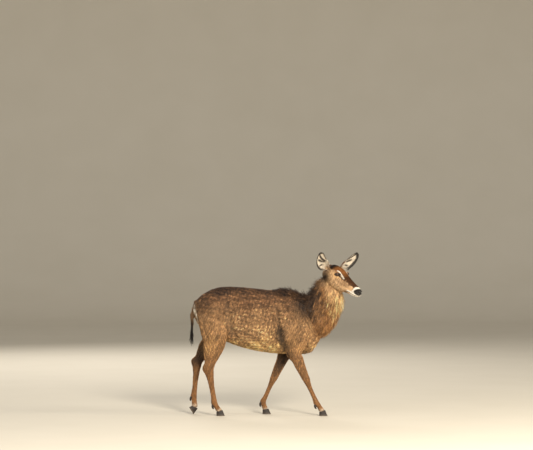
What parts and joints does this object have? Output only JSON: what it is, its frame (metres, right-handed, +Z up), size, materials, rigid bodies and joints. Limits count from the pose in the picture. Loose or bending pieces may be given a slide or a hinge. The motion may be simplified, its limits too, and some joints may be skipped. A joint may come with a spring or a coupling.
{
  "type": "female waterbuck figure",
  "caption": "Life-size still figure of a hornless female waterbuck, walking with its head turned to its right.",
  "frame": {"origin": "on the floor under the middle of the whole figure's box", "axes": "+X the way the body faces, +Y to its left, +Z up"},
  "size_m": [1.6514, 0.5844, 1.5676],
  "materials": {
    "body_coat": "coarse grizzled grey-brown coat, darker along the back",
    "neck_coat": "long shaggy grey-brown hair",
    "face_coat": "short rufous brown coat with pale marks and a black nose",
    "ear_fur": "short brown fur, white inside, with a black rim",
    "leg_coat": "short dark brown coat",
    "tail_coat": "brown-black hair",
    "horn": "dull black horn",
    "eye": "wet dark brown"
  },
  "bodies": {
    "root": {"claw_fore_left_inner": "horn", "claw_fore_left_outer": "horn", "claw_fore_right_inner": "horn", "claw_fore_right_outer": "horn", "claw_hind_left_inner": "horn", "claw_hind_left_outer": "horn", "claw_hind_right_inner": "horn", "claw_hind_right_outer": "horn", "dewclaw_fore_left_inner": "horn", "dewclaw_fore_left_outer": "horn", "dewclaw_fore_right_inner": "horn", "dewclaw_fore_right_outer": "horn", "dewclaw_hind_left_inner": "horn", "dewclaw_hind_left_outer": "horn", "dewclaw_hind_right_inner": "horn", "dewclaw_hind_right_outer": "horn", "ear_left": "ear_fur", "ear_right": "ear_fur", "eye_left": "eye", "eye_right": "eye", "head": "face_coat", "leg_fore_left": "leg_coat", "leg_fore_right": "leg_coat", "leg_hind_left": "leg_coat", "leg_hind_right": "leg_coat", "neck": "neck_coat", "tail": "tail_coat", "torso": "body_coat"}
  },
  "joints": []
}
